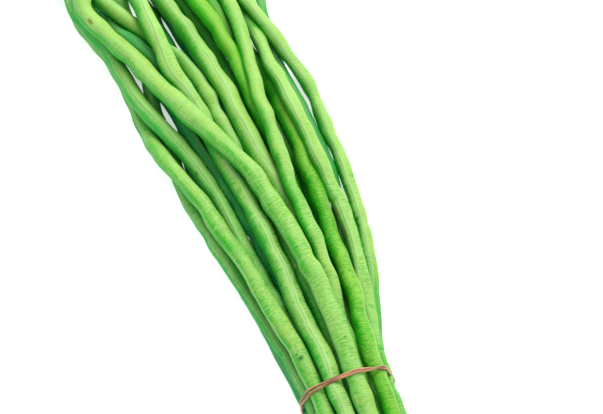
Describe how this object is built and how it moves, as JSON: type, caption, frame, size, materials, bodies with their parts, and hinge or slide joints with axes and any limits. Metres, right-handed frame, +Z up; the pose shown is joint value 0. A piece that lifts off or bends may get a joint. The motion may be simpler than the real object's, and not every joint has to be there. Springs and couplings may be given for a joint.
{
  "type": "yardlong bean bunch",
  "caption": "Bunch of long, slender green yardlong bean pods tied with a rubber band near the stem ends, lying on a surface.",
  "frame": {"origin": "under the middle of the bunch, on the surface it lies on", "axes": "+X along the bunch from the stem ends to the pod tips, +Y to the left seen along +X, +Z up"},
  "size_m": [0.474, 0.1558, 0.039],
  "materials": {
    "pod_green": "fresh green pod skin, semi-matte, finely wrinkled across",
    "pod_pale": "pale yellow-green pod skin, semi-matte, finely wrinkled across",
    "pod_deep": "deeper green pod skin, semi-matte, finely wrinkled across",
    "rubber_band": "tan-pink rubber, matte"
  },
  "bodies": {
    "root": {"pod_flank_left": "pod_deep", "pod_shoulder_left": "pod_green", "pod_top_left": "pod_pale", "pod_second_left": "pod_pale", "pod_inner_left": "pod_green", "pod_inner_teal": "pod_deep", "pod_ribbed": "pod_pale", "pod_crossing": "pod_green", "pod_folded": "pod_pale", "pod_stout": "pod_pale", "pod_under_stout": "pod_deep", "pod_under_middle": "pod_deep", "pod_shaded": "pod_green", "pod_between": "pod_deep", "pod_slim": "pod_green", "pod_top_right": "pod_pale", "pod_shoulder_right": "pod_pale", "pod_edge_right": "pod_green", "pod_under_right": "pod_deep", "rubber_band": "rubber_band"}
  },
  "joints": []
}
